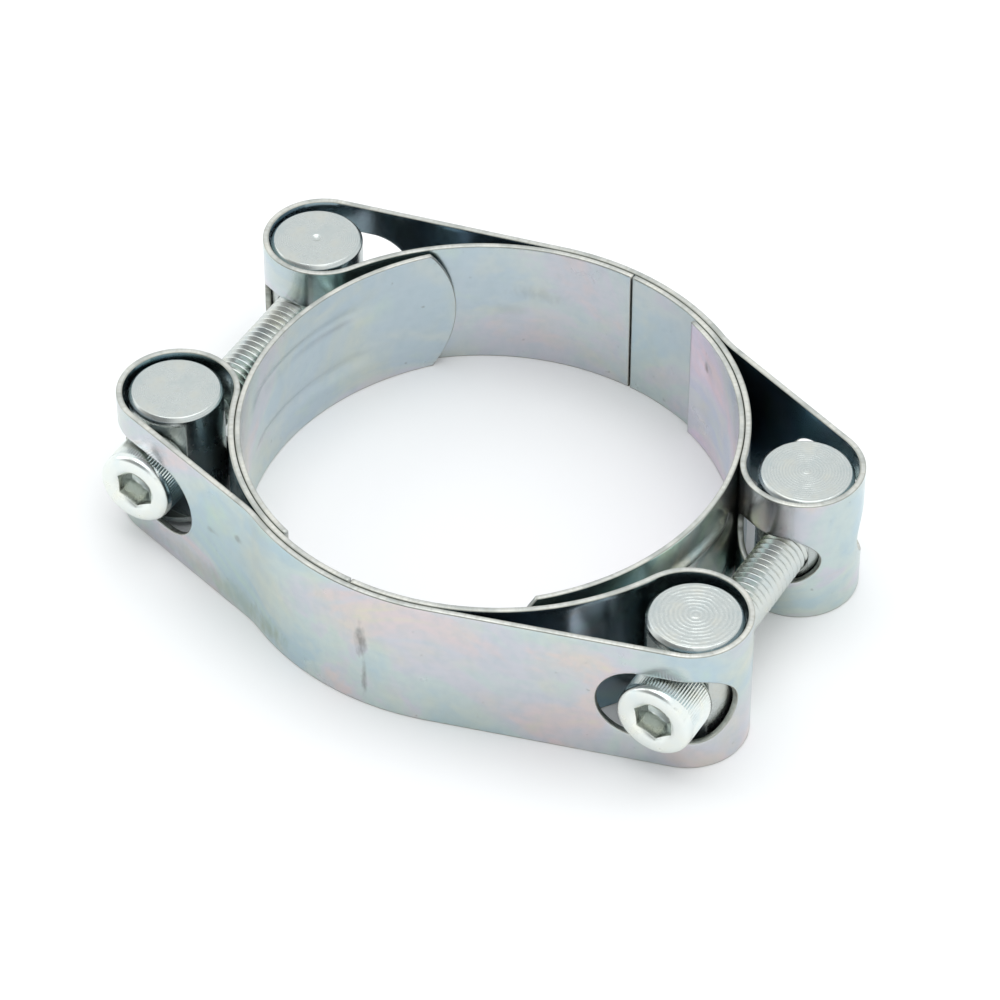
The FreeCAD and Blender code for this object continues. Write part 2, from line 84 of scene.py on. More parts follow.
TONGUE_END = 19.0 * MM  # rounding of the free end
TONGUE_END_LENGTH = 8.0 * MM
TONGUE_END_STEP = 0.08  # share of that length
TONGUE_STEP = 0.7 * MM
TONGUE_ROW = 0.4 * MM
RIB_START = 1.0 * MM  # past the bend of the tongue
RIB_LENGTH = 35.0 * MM
RIB_DEPTH = 0.5 * MM
RIB_WIDTH = 1.5 * MM
RIB_SPREAD = 10.2 * MM
WELD_PLACE = 5.0 * MM
WELD_SPREAD = 11.0 * MM
WELD_RADIUS = 1.7 * MM
WELD_DEPTH = 0.16 * MM
TRUNNION_CHAMFER = 0.65 * MM
TRUNNION_CORNER = 0.12 * MM
BORE = 4.1 * MM
SEAT = 5.6 * MM  # milled seat from the trunnion axis
SEAT_RIM = 1.6 * MM
THREAD_PITCH = 1.25 * MM
KNURLS = 84
KNURL_DEPTH = 0.13 * MM
SOCKET_FLATS = 6.0 * MM
SOCKET_DEPTH = 4.2 * MM
SOCKET_CONE = 1.2 * MM
HEAD_HEIGHT = 8.0 * MM

JOINTS = {joint["name"]: joint for joint in frame["joints"]}


def middle(node):
    low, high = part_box(node)
    return (low + high) / 2


def hinge_point(name):
    return Vector(JOINTS[name]["pos_m"])


BAND_LOW, BAND_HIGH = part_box("rear_band")
WIDTH = BAND_HIGH.z - BAND_LOW.z
MID = WIDTH / 2
TRUNNIONS = {
    "left_nut_trunnion": hinge_point("rear_half_pivot"),
    "right_nut_trunnion": middle("right_nut_trunnion"),
    "left_front_trunnion": hinge_point("left_swing"),
    "right_front_trunnion": hinge_point("right_swing"),
}


def half_placement(end):
    """The half frame in the row frame. end: 1 rear, -1 front."""
    kind = "nut" if end > 0 else "front"
    left = TRUNNIONS[f"left_{kind}_trunnion"]
    right = TRUNNIONS[f"right_{kind}_trunnion"]
    tilt = math.asin((left.y - right.y) / (2 * TRUNNION_OUT))
    slide = Matrix.Translation((-end * TRUNNION_UP * math.sin(tilt), 0, 0))
    turn = -tilt if end > 0 else math.pi - tilt
    return slide @ Matrix.Rotation(turn, 4, "Z")


# ---------------------------------------------------------------- paths and flat patterns


def polar(centre, radius, angle):
    return Vector((centre[0] + radius * math.cos(angle), centre[1] + radius * math.sin(angle)))


class Path:
    """Arcs and lines end to end, read by the distance along them."""

    def __init__(self):
        self.parts = []
        self.length = 0.0

    def arc(self, centre, radius, start, stop):
        self.parts.append(("arc", self.length, radius * abs(stop - start), (centre, radius, start, stop)))
        self.length += self.parts[-1][2]

    def line(self, start, stop):
        self.parts.append(("line", self.length, (stop - start).length, (start, stop)))
        self.length += self.parts[-1][2]

    def at(self, distance):
        """(point, unit vector to the left of travel)."""
        part = self.parts[0]
        for candidate in self.parts:
            if candidate[1] <= distance + 1e-9:
                part = candidate
        kind, begin, span, data = part
        share = (distance - begin) / span
        if kind == "line":
            start, stop = data
            ahead = (stop - start).normalized()
            return start.lerp(stop, share), Vector((-ahead.y, ahead.x))
        centre, radius, start, stop = data
        angle = start + (stop - start) * share
        outward = Vector((math.cos(angle), math.sin(angle)))
        return polar(centre, radius, angle), -outward if stop > start else outward


def band_path():
    """From the seam, round the right loop, over the crown, round the left loop and back."""
    outer = RING + GAUGE + LAYER_GAP
    reach = RING + LOOP
    lug = math.asin(LUG_HEIGHT / reach)
    left_arm = lug + math.acos((outer - LOOP) / reach)
    right = polar((0, 0), reach, lug)
    left = Vector((-right.x, right.y))
    hollow = polar((0, 0), outer + ARM_BEND, ARM_LEAVE)
    across = hollow - right
    right_arm = math.atan2(across.y, across.x) - math.acos((ARM_BEND + LOOP) / across.length)
    path = Path()
    path.arc((0, 0), RING, math.pi / 2, lug)
    path.arc(right, LOOP, lug + math.pi, right_arm + 2 * math.pi)
    path.line(polar(right, LOOP, right_arm), polar(hollow, ARM_BEND, right_arm + math.pi))
    path.arc(hollow, ARM_BEND, right_arm + math.pi, ARM_LEAVE + math.pi)
    path.arc((0, 0), outer, ARM_LEAVE, math.pi - left_arm)
    path.line(polar((0, 0), outer, math.pi - left_arm), polar(left, LOOP, math.pi - left_arm))
    path.arc(left, LOOP, math.pi - left_arm, 2 * math.pi - lug)
    path.arc((0, 0), RING, math.pi - lug, math.pi / 2 + SEAM_GAP / RING)
    return path, right, left


def tongue_path(spring):
    """From the welded end past the bend to the tip of the free end."""
    hub = polar((0, 0), -spring, TONGUE_BEND)
    far = TONGUE_MIDDLE + spring
    ray = Vector((math.cos(TONGUE_TIP), math.sin(TONGUE_TIP)))
    along = ray.dot(hub)
    tip = ray * (along + math.sqrt(far ** 2 - hub.length_squared + along ** 2))
    path = Path()
    path.arc((0, 0), TONGUE_MIDDLE, TONGUE_WELD, TONGUE_BEND)
    path.arc(hub, far, TONGUE_BEND, math.atan2(tip.y - hub.y, tip.x - hub.x))
    return path


class Flat:
    """A flat pattern: points (along, across) and the faces between them."""

    def __init__(self):
        self.points = []
        self.faces = []
        self.index = {}

    def point(self, along, across):
        key = (round(along, 7), round(across, 7))
        if key not in self.index:
            self.index[key] = len(self.points)
            self.points.append((along, across))
        return self.index[key]

    def face(self, corners):
        kept = [c for i, c in enumerate(corners) if c != corners[i - 1]]
        if len(kept) > 2:
            self.faces.append(kept)

    def block(self, columns, rows):
        for left, right in zip(columns[:-1], columns[1:]):
            for low, high in zip(rows[:-1], rows[1:]):
                self.face([self.point(left, low), self.point(right, low),
                           self.point(right, high), self.point(left, high)])

    def slotted_block(self, columns, rows, rim_point, rings):
        """A block round a slot: rim_point gives the slot's edge facing each outer point."""
        border = [(c, rows[0]) for c in columns[:-1]]
        border += [(columns[-1], r) for r in rows[:-1]]
        border += [(c, rows[-1]) for c in columns[:0:-1]]
        border += [(columns[0], r) for r in rows[:0:-1]]
        rims = [rim_point(*spot) for spot in border]
        count = len(border)
        grid = []
        for ring in range(rings + 1):
            share = (ring / rings) ** SLOT_RING_POWER
            grid.append([
                self.point(*(q + (p - q) * share for p, q in zip(spot, rim)))
                for spot, rim in zip(border, rims)
            ])
        for inner, outer in zip(grid[:-1], grid[1:]):
            for i in range(count):
                j = (i + 1) % count
                self.face([inner[i], outer[i], outer[j], inner[j]])


def spread(start, stop, step):
    count = max(1, round(abs(stop - start) / step))
    return [start + (stop - start) * i / count for i in range(count + 1)]


def slot_block(path, lug, slot, span):
    """(first column, last column, rim_point) of a slot cut straight through a stretch of
    the strip. The plane it is drawn in stands on the loop's centre."""
    side = math.copysign(1, lug.x)
    axis = Vector((side * math.cos(slot["turn"]), -math.sin(slot["turn"])))
    samples = np.linspace(span[0], span[1], 400)
    reach = np.array([(path.at(s)[0] - lug).dot(axis) for s in samples])
    order = np.argsort(reach)
    radius = slot["width"] / 2
    ends = (radius - slot["inner"], slot["outer"] - radius)

    def at_reach(value):
        return float(np.interp(value, reach[order], samples[order]))

    def rim_point(along, across):
        offset = float(np.interp(along, samples, reach))
        core = min(max(offset, ends[0]), ends[1])
        away = Vector((offset - core, across - MID)).normalized() * radius
        return at_reach(core + away.x), MID + away.y

    first, last = sorted((at_reach(-slot["inner"]), at_reach(slot["outer"])))
    return first - SLOT_MARGIN, last + SLOT_MARGIN, rim_point


def band_pattern(right_slot):
    """The flat pattern of a half band, with two slots at each end."""
    path, right, left = band_path()
    right_loop, crown, crown_end, left_return = [path.parts[i][1] for i in (1, 4, 5, 7)]
    gap_side = LOOP * math.radians(150)
    outside = LOOP * math.radians(160)
    blocks = [
        slot_block(path, right, SHANK_SLOT, (right_loop - SLOT_MARGIN, right_loop + gap_side)),
        slot_block(path, right, right_slot, (right_loop + outside, crown)),
        slot_block(path, left, HEAD_SLOT_LEFT, (crown_end, left_return - outside)),
        slot_block(path, left, SHANK_SLOT, (left_return - gap_side, left_return + SLOT_MARGIN)),
    ]
    flat = Flat()
    rows = spread(0, WIDTH, PATTERN_ROW)
    done = 0.0
    for first, last, rim_point in blocks:
        flat.block(spread(done, first, PATTERN_STEP), rows)
        flat.slotted_block(spread(first, last, PATTERN_STEP), rows, rim_point, SLOT_RINGS)
        done = last
    flat.block(spread(done, path.length, PATTERN_STEP), rows)
    return path, flat


def tongue_pattern(spring):
    """The flat pattern of a tongue: a straight welded end and a rounded free end."""
    path = tongue_path(spring)
    flat = Flat()
    rows = spread(0, WIDTH, TONGUE_ROW)
    straight = path.length - TONGUE_END_LENGTH
    flat.block(spread(0, straight, TONGUE_STEP), rows)
    shares = spread(0, 1, TONGUE_END_STEP)
    for low, high in zip(rows[:-1], rows[1:]):
        for near, far in zip(shares[:-1], shares[1:]):
            corners = [(near, low), (far, low), (far, high), (near, high)]
            spots = []
            for share, across in corners:
                sag = TONGUE_END - math.sqrt(TONGUE_END ** 2 - (across - MID) ** 2)
                spots.append((straight + (path.length - sag - straight) * share, across))
            flat.face([flat.point(*spot) for spot in spots])
    return path, flat


# ---------------------------------------------------------------- meshes


def finish_mesh(name, vertices, faces, materials, indices, attributes):
    """A smooth mesh object with outward faces. attributes: name to one vector per vertex."""
    mesh = bpy.data.meshes.new(name)
    mesh.from_pydata([tuple(v) for v in vertices], [], faces)
    for material in materials:
        mesh.materials.append(material)
    mesh.polygons.foreach_set("material_index", indices)
    for label, values in attributes.items():
        layer = mesh.attributes.new(label, "FLOAT_VECTOR", "POINT")
        layer.data.foreach_set("vector", np.array(values, np.float32).ravel())
    work = bmesh.new()
    work.from_mesh(mesh)
    bmesh.ops.remove_doubles(work, verts=work.verts, dist=1e-7)
    bmesh.ops.recalc_face_normals(work, faces=work.faces)
    for face in work.faces:
        face.smooth = True
    work.to_mesh(mesh)
    work.free()
    piece = bpy.data.objects.new(name, mesh)
    bpy.context.scene.collection.objects.link(piece)
    weighted = piece.modifiers.new("WeightedNormals", "WEIGHTED_NORMAL")
    weighted.keep_sharp = True
    return piece


def plate(name, flat, path, gauge, corner, placement, materials, relief=None, seed=0):
    """Thickens a flat pattern along a path and rounds its sheared edges."""
    edges = {}
    for face in flat.faces:
        for a, b in zip(face, face[1:] + face[:1]):
            edges.setdefault(frozenset((a, b)), []).append((a, b))
    border = [pairs[0] for pairs in edges.values() if len(pairs) == 1]
    outward = {}
    for a, b in border:
        step = Vector(flat.points[b]) - Vector(flat.points[a])
        side = Vector((step.y, -step.x)).normalized()
        for end in (a, b):
            outward[end] = outward.get(end, Vector((0, 0))) + side
    half = gauge / 2
    bevel = corner * (1 - math.sqrt(0.5))
    profile = [(corner, half), (bevel, half - bevel), (0, half - corner),
               (0, corner - half), (bevel, bevel - half), (corner, -half)]
    vertices = []
    pattern = []
    rings = []

    def place(along, across, height):
        lift = relief(along, across) if relief else 0.0
        spot, left = path.at(along)
        spot = spot + left * (height + lift)
        vertices.append(placement @ Vector((spot.x, spot.y, across)))
        pattern.append((along, across, height))
        return len(vertices) - 1

    for number, (along, across) in enumerate(flat.points):
        if number not in outward:
            rings.append([place(along, across, half), place(along, across, -half)])
            continue
        side = outward[number].normalized()
        rough = abs(noise.noise(Vector((along, across, seed * MM)) / BURR_LENGTH)) * BURR
        ring = []
        for inset, height in profile:
            inward = inset + (rough if abs(height) < half else 0)
            ring.append(place(along - side.x * inward, across - side.y * inward, height))
        rings.append(ring)
    faces = [[rings[i][0] for i in face] for face in flat.faces]
    faces += [[rings[i][-1] for i in reversed(face)] for face in flat.faces]
    indices = [0] * len(faces)
    for a, b in border:
        for k in range(len(profile) - 1):
            faces.append([rings[b][k], rings[a][k], rings[a][k + 1], rings[b][k + 1]])
            indices.append(1)
    return finish_mesh(name, vertices, faces, materials, indices, {"flat": pattern})


def turned(name, profile, segments, place, local, materials, indices=None):
    """A surface of rings: profile holds functions or numbers (radius, height) from the axis
    at one end to the axis at the other. place and local map (radius, angle, height) to a
    point of the scene and of the textures. indices: the material of each band of faces."""
    vertices = []
    values = []
    faces = []
    materials_of = []
    rows = []
    for radius, height in profile:
        row = []
        for i in range(segments):
            angle = 2 * math.pi * i / segments
            r = radius(angle) if callable(radius) else radius
            y = height(angle) if callable(height) else height
            row.append(len(vertices))
            vertices.append(place(r, angle, y))
            values.append(local(r, angle, y))
        rows.append(row)
    for k, (low, high) in enumerate(zip(rows[:-1], rows[1:])):
        for i in range(segments):
            j = (i + 1) % segments
            faces.append([low[i], low[j], high[j], high[i]])
            materials_of.append(indices[k] if indices else 0)
    return finish_mesh(name, vertices, faces, materials, materials_of, {"local": values})


def carve(piece, cutter):
    """Takes the cutter out of the piece for good."""
    boolean = piece.modifiers.new("Carve", "BOOLEAN")
    boolean.operation = "DIFFERENCE"
    boolean.solver = "EXACT"
    boolean.object = cutter
    piece.modifiers.move(len(piece.modifiers) - 1, 0)
    bpy.context.view_layer.update()
    shaped = piece.evaluated_get(bpy.context.evaluated_depsgraph_get())
    mesh = bpy.data.meshes.new_from_object(shaped)
    piece.modifiers.remove(boolean)
    piece.data = mesh
    bpy.data.objects.remove(cutter)


# ---------------------------------------------------------------- materials


class Nodes:
    """Shorthand for a material's node tree."""

    def __init__(self, name):
        self.material = bpy.data.materials.new(name)
        self.material.use_nodes = True
        self.tree = self.material.node_tree
        self.shader = self.tree.nodes["Principled BSDF"]

    def add(self, kind, inputs=None, **settings):
        node = self.tree.nodes.new(kind)
        for key, value in settings.items():
            setattr(node, key, value)
        for key, value in (inputs or {}).items():
            self.feed(node, key, value)
        return node

    def feed(self, node, key, value):
        socket = node.inputs[key]
        if isinstance(value, bpy.types.NodeSocket):
            self.tree.links.new(value, socket)
        else:
            socket.default_value = value

    def attribute(self, name):
        return self.add("ShaderNodeAttribute", attribute_name=name).outputs["Vector"]

    def scaled(self, vector, x, y, z):
        return self.add("ShaderNodeMapping", {"Vector": vector, "Scale": (x, y, z)}).outputs["Vector"]

    def noise(self, vector, scale, detail=3.0, roughness=0.55, distortion=0.0):
        return self.add("ShaderNodeTexNoise", {
            "Vector": vector, "Scale": scale, "Detail": detail,
            "Roughness": roughness, "Distortion": distortion}).outputs["Fac"]

    def ramp(self, value, stops):
        node = self.add("ShaderNodeValToRGB", {"Fac": value})
        node.color_ramp.interpolation = "EASE"
        elements = node.color_ramp.elements
        while len(elements) < len(stops):
            elements.new(0.5)
        for element, (spot, colour) in zip(elements, stops):
            element.position = spot
            element.color = (*colour, 1.0)
        return node.outputs["Color"]

    def level(self, value, low, high, out_low=0.0, out_high=1.0):
        node = self.add("ShaderNodeMapRange", {
            "Value": value, "From Min": low, "From Max": high,
            "To Min": out_low, "To Max": out_high})
        return node.outputs["Result"]

    def maths(self, operation, *values):
        node = self.add("ShaderNodeMath", operation=operation)
        for number, value in enumerate(values):
            self.feed(node, number, value)
        return node.outputs["Value"]

    def mix(self, share, first, second, blend="MIX"):
        node = self.add("ShaderNodeMix", data_type="RGBA", blend_type=blend)
        for socket, value in ((0, share), (6, first), (7, second)):
            target = node.inputs[socket]
            if isinstance(value, bpy.types.NodeSocket):
                self.tree.links.new(value, target)
            else:
                target.default_value = value if socket == 0 else (*value, 1.0)
        return node.outputs[2]

    def bump(self, height, strength, distance, normal=None):
        inputs = {"Height": height, "Strength": strength, "Distance": distance}
        if normal is not None:
            inputs["Normal"] = normal
        return self.add("ShaderNodeBump", inputs).outputs["Normal"]


# Passivation colours of zinc plate, as reflectances.
BLUE = (0.46, 0.585, 0.63)
GREY = (0.55, 0.635, 0.615)
LILAC = (0.59, 0.595, 0.64)
PINK = (0.68, 0.59, 0.59)
GREEN = (0.50, 0.64, 0.575)
STRAW = (0.67, 0.66, 0.48)
GRIME = (0.20, 0.20, 0.19)
MOTTLE = (0.40, 0.50, 0.54)
ROLL_LINE = (0.42, 0.47, 0.52)
EDGE_TONES = [(0.36, (0.70, 0.695, 0.64)), (0.50, (0.58, 0.59, 0.56)), (0.62, (0.44, 0.46, 0.44))]
EDGE_TEAR = (0.36, 0.35, 0.29)
EDGE_BOTTOM = (0.33, 0.32, 0.25)
# Painted shade for the rounded corners of the sheared edge.
EDGE_CORNER_SHADE = (0.30, 0.31, 0.27)
BAR_TONES = [(0.3, (0.50, 0.55, 0.545)), (0.5, (0.56, 0.59, 0.57)), (0.7, (0.60, 0.605, 0.55))]
BAR_RING_SHADE = (0.38, 0.42, 0.42)
BAR_SPECK = (0.36, 0.38, 0.38)
SCREW_TONES = [(0.3, (0.62, 0.675, 0.67)), (0.5, (0.68, 0.71, 0.68)), (0.7, (0.71, 0.72, 0.65))]
SCREW_SPECK = (0.40, 0.42, 0.38)
PAPER = (0.965, 0.965, 0.965, 1)
TENT = (0.96, 0.985, 1.0, 1)
SEED_STEP = 0.37
HEAD_LIGHTNESS = 1.2
# Painted shade: the socket's copy of the screw colour is darker than the head's.
SOCKET_SHADE_LIGHTNESS = 1.06
THREAD_LIGHTNESS = 0.94

# Tints of the two sides of a strip: of the ring's inside, then of its outside. On the bands one side is
# painted shade for the folds; on the tongues the outsides carry a partly painted reflection.
PLAIN = (1.0, 1.0, 1.0)
PINK_SHEEN = (1.22, 1.08, 1.18)
# Partly teal passivation, partly a painted reflection: it brightens the tongues' outer sides as if lit by
# the floor.
TEAL_AND_PAINTED_REFLECTION = (1.14, 1.25, 1.18)
FOLD_SHADE = (0.54, 0.64, 0.70)  # painted shade: this side of the band strip is darkened for the shade inside the folds
BAND_TINTS = (PLAIN, FOLD_SHADE)
RIGHT_TONGUE_TINTS = (PINK_SHEEN, TEAL_AND_PAINTED_REFLECTION)
LEFT_TONGUE_TINTS = (PLAIN, TEAL_AND_PAINTED_REFLECTION)


def smudge(n, flat, mark, ragged):
    """How strongly a soft ragged oval mark shows. mark: (along, across, length, width, strength)."""
    along, across, length, width, strength = mark
    placed = n.add("ShaderNodeMapping", {
        "Vector": flat, "Location": (-along / length, -across / width, 0),
        "Scale": (1 / length, 1 / width, 0)}).outputs["Vector"]
    away = n.add("ShaderNodeVectorMath", {0: placed}, operation="LENGTH").outputs["Value"]
    wobble = n.maths("MULTIPLY_ADD", ragged, 2.4, -1.2)
    return n.level(n.maths("ADD", away, wobble), 1.1, 0.2, 0.0, strength)


def zinc_strip(name, seed, pinkness, tints, marks=(), stains=()):
    """Rolled strip with blue zinc plate: cloudy rainbow passivation, rolling lines, small marks."""
    n = Nodes(name)
    flat = n.attribute("flat")
    moved = n.add("ShaderNodeMapping", {"Vector": flat, "Location": (seed, seed * 0.7, seed * 0.3)})
    spot = moved.outputs["Vector"]
    clouds = n.noise(n.scaled(spot, 1, 1.3, 1), 34.0, 4.0, 0.6, 0.8)
    hue = n.ramp(clouds, [
        (0.30, GREEN), (0.40, BLUE), (0.49, GREY), (0.56, LILAC), (0.63, PINK), (0.72, STRAW)])
    drift = n.noise(spot, 13.0, 2.0, 0.5, 0.3)
    hue = n.mix(n.level(drift, 0.42, 0.66, 0.0, pinkness), hue, LILAC)
    haze = n.noise(spot, 75.0, 3.0, 0.6, 0.5)
    hue = n.mix(n.level(haze, 0.48, 0.75, 0.0, 0.5), hue, STRAW)
    mottle = n.noise(spot, 520.0, 3.0, 0.65)
    hue = n.mix(n.level(mottle, 0.42, 0.72, 0.0, 0.32), hue, MOTTLE)
    lines = n.noise(n.scaled(spot, 25, 900, 1), 1.0, 3.0, 0.6)
    hue = n.mix(n.level(lines, 0.3, 0.7, 0.0, 0.14), hue, ROLL_LINE)
    ragged = n.noise(n.scaled(flat, 1.6, 0.7, 1), 420.0, 4.0, 0.7)
    for mark in stains:
        hue = n.mix(smudge(n, flat, mark, ragged), hue, STRAW, "MULTIPLY")
    for mark in marks:
        hue = n.mix(smudge(n, flat, mark, ragged), hue, GRIME)
    specks = n.noise(spot, 900.0, 1.0, 0.4)
    hue = n.mix(n.level(specks, 0.76, 0.82, 0.0, 0.4), hue, GRIME)
    height = n.add("ShaderNodeSeparateXYZ", {"Vector": flat}).outputs["Z"]
    # Tint per side of the strip: painted shade on one side of the bands, partly a painted reflection on
    # the tongues' outer sides.
    tint = n.mix(n.level(height, -0.3 * MM, 0.3 * MM), *tints)
    hue = n.mix(1.0, hue, tint, "MULTIPLY")
    n.feed(n.shader, "Base Color", hue)
    n.feed(n.shader, "Metallic", 1.0)
    blotch = n.noise(spot, 90.0, 4.0, 0.6)
    n.feed(n.shader, "Roughness", n.level(blotch, 0.3, 0.7, 0.17, 0.28))
    grain = n.noise(spot, 1700.0, 2.0, 0.6)
    normal = n.bump(grain, 0.06, 0.02 * MM)
    normal = n.bump(lines, 0.08, 0.01 * MM, normal)
    waves = n.noise(spot, 45.0, 2.0, 0.5)
    normal = n.bump(waves, 0.12, 0.4 * MM, normal)
    n.feed(n.shader, "Normal", normal)
    return n.material


def zinc_edge(name):
    """Sheared edge of the strip: torn across the thickness, olive below, with darker olive painted shade
    on its rounded corners.
    """
    n = Nodes(name)
    flat = n.attribute("flat")
    tears = n.noise(n.scaled(flat, 1500, 1500, 300), 1.0, 3.0, 0.6)
    patches = n.noise(flat, 160.0, 3.0, 0.6)
    hue = n.ramp(patches, EDGE_TONES)
    hue = n.mix(n.level(tears, 0.45, 0.75, 0.0, 0.6), hue, EDGE_TEAR)
    spot = n.add("ShaderNodeSeparateXYZ", {"Vector": flat})
    hue = n.mix(n.level(spot.outputs["Y"], 0.3 * MM, 0.8 * MM, 0.75, 0.0), hue, EDGE_BOTTOM)
    # Painted shade on the rounded corners of the edge, away from the middle of its thickness.
    depth = n.maths("ABSOLUTE", n.maths("ADD", spot.outputs["Z"], 0.06 * MM))
    hue = n.mix(n.level(depth, 0.22 * MM, 0.40 * MM, 0.0, 0.65), hue, EDGE_CORNER_SHADE)
    n.feed(n.shader, "Base Color", hue)
    n.feed(n.shader, "Metallic", 1.0)
    n.feed(n.shader, "Roughness", n.level(patches, 0.3, 0.7, 0.28, 0.42))
    n.feed(n.shader, "Normal", n.bump(tears, 0.35, 0.03 * MM))
    return n.material


def zinc_bar(name, ring_pitch, ring_depth, wander):
    """Turned bar: rings from the tool on its ends, which wander and break off in places, with painted
    shade in darker bands along them.
    """
    n = Nodes(name)
    local = n.attribute("local")
    parts = n.add("ShaderNodeSeparateXYZ", {"Vector": local})
    squares = [n.maths("MULTIPLY", parts.outputs[axis], parts.outputs[axis]) for axis in "XY"]
    radius = n.maths("SQRT", n.maths("ADD", *squares))
    drift = n.noise(local, 330.0, 3.0, 0.6)
    phase = n.maths("ADD", n.maths("MULTIPLY", radius, 2 * math.pi / ring_pitch),
                    n.maths("MULTIPLY", drift, wander))
    broken = n.level(n.noise(local, 480.0, 3.0, 0.6), 0.38, 0.66, 0.25, 1.0)
    rings = n.maths("MULTIPLY", n.maths("SINE", phase), broken)
    cloud = n.noise(local, 190.0, 4.0, 0.65)
    hue = n.ramp(cloud, BAR_TONES)
    # Painted shade: darker bands along the tool rings.
    hue = n.mix(n.level(rings, -1, 1, 0.0, 0.45), hue, BAR_RING_SHADE)
    specks = n.noise(local, 1500.0, 3.0, 0.65)
    hue = n.mix(n.level(specks, 0.48, 0.72, 0.0, 0.25), hue, BAR_SPECK)
    n.feed(n.shader, "Base Color", hue)
    n.feed(n.shader, "Metallic", 1.0)
    n.feed(n.shader, "Roughness", n.level(cloud, 0.3, 0.7, 0.20, 0.34))
    grain = n.noise(local, 2000.0, 3.0, 0.65)
    normal = n.bump(grain, 0.14, 0.03 * MM)
    n.feed(n.shader, "Normal", n.bump(rings, 0.5, ring_depth, normal))
    return n.material


def zinc_screw(name, lightness):
    """Cold-headed screw with zinc plate: a pale yellow-green cast with small dark specks."""
    n = Nodes(name)
    local = n.attribute("local")
    cloud = n.noise(local, 230.0, 4.0, 0.6)
    hue = n.ramp(cloud, [(spot, tuple(c * lightness for c in tone)) for spot, tone in SCREW_TONES])
    specks = n.noise(local, 1500.0, 3.0, 0.6)
    hue = n.mix(n.level(specks, 0.6, 0.8, 0.0, 0.35), hue, SCREW_SPECK)
    n.feed(n.shader, "Base Color", hue)
    n.feed(n.shader, "Metallic", 1.0)
    n.feed(n.shader, "Roughness", n.level(cloud, 0.3, 0.7, 0.18, 0.30))
    grain = n.noise(local, 2200.0, 2.0, 0.6)
    n.feed(n.shader, "Normal", n.bump(grain, 0.15, 0.02 * MM))
    return n.material


# ---------------------------------------------------------------- the pieces


def settle(piece, body, node):
    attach(piece, body)
    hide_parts(node)


# Marks on the strips: (along, across, length, width, strength), along from a strip's start.
FRONT_MARKS = [
    (142.6 * MM, 13.5 * MM, 1.1 * MM, 3.6 * MM, 0.75),
    (143.2 * MM, 6.5 * MM, 0.5 * MM, 4.5 * MM, 0.6),
    (114.2 * MM, 16.0 * MM, 1.2 * MM, 0.8 * MM, 0.5),
    (107.5 * MM, 13.2 * MM, 1.6 * MM, 0.7 * MM, 0.35),
]
FRONT_STAINS = [
    (112.0 * MM, 2.6 * MM, 16.0 * MM, 2.8 * MM, 0.4),
    (122.0 * MM, 3.2 * MM, 5.0 * MM, 2.6 * MM, 0.4),
]
REAR_MARKS = [
    (263.0 * MM, 14.5 * MM, 5.0 * MM, 1.6 * MM, 0.20),
    (258.0 * MM, 10.5 * MM, 3.0 * MM, 1.2 * MM, 0.15),
]
WELD_MARKS = [(5.0 * MM, 17.5 * MM, 0.7 * MM, 1.3 * MM, 0.8)]


def make_bands(edge):
    looks = [("rear", 1, 0.55, REAR_MARKS, []), ("front", -1, 0.3, FRONT_MARKS, FRONT_STAINS)]
    for seed, (label, end, pinkness, marks, stains) in enumerate(looks, start=1):
        path, flat = band_pattern(HEAD_SLOT_RIGHT[label])
        face = zinc_strip(f"{label}_band_zinc", seed * SEED_STEP, pinkness, BAND_TINTS, marks, stains)
        band = plate(f"{label}_band_strip", flat, path, GAUGE, EDGE_ROUND, half_placement(end),
                     [face, edge], seed=seed)
        settle(band, f"{label}_half", f"{label}_band")


def make_tongues(edge):
    rib_start = TONGUE_MIDDLE * (TONGUE_WELD - TONGUE_BEND) + RIB_START

    def relief(along, across):
        """Two pressed ribs that stand outwards, and two spot welds near the welded end."""
        lift = 0.0
        share = (along - rib_start) / RIB_LENGTH
        if 0 < share < 1:
            fade = min(1.0, 5 * min(share, 1 - share))
            fade = fade * fade * (3 - 2 * fade)
            for side in (-1, 1):
                off = (across - MID - side * RIB_SPREAD / 2) / RIB_WIDTH
                lift += RIB_DEPTH * fade * math.exp(-off * off)
        for side in (-1, 1):
            gap = math.hypot(along - WELD_PLACE, across - MID - side * WELD_SPREAD / 2)
            lift += WELD_DEPTH * math.exp(-(gap / WELD_RADIUS) ** 4)
        return lift

    looks = [
        ("right", "rear", 1, 0.85, RIGHT_TONGUE_TINTS),
        ("left", "front", -1, 0.4, LEFT_TONGUE_TINTS),
    ]
    for seed, (label, half, end, pinkness, tints) in enumerate(looks, start=3):
        path, flat = tongue_pattern(TONGUE_SPRING[label])
        face = zinc_strip(f"{label}_tongue_zinc", seed * SEED_STEP, pinkness, tints, WELD_MARKS)
        tongue = plate(f"{label}_tongue_plate", flat, path, TONGUE_GAUGE, EDGE_ROUND,
                       half_placement(end), [face, edge], relief, seed)
        settle(tongue, f"{half}_half", f"{label}_tongue")


def rounded(points, radius):
    """Softens the inner corners of a profile with three points each."""
    soft = [points[0]]
    for before, here, after in zip(points, points[1:], points[2:]):
        corner = Vector(here)
        ways = [Vector(p) - corner for p in (before, after)]
        cut = min([radius] + [way.length * 0.45 for way in ways])
        start, stop = (corner + way.normalized() * cut for way in ways)
        between = start.lerp(stop, 0.5).lerp(corner, 0.42)
        soft += [tuple(start), tuple(between), tuple(stop)]
    soft.append(points[-1])
    return soft


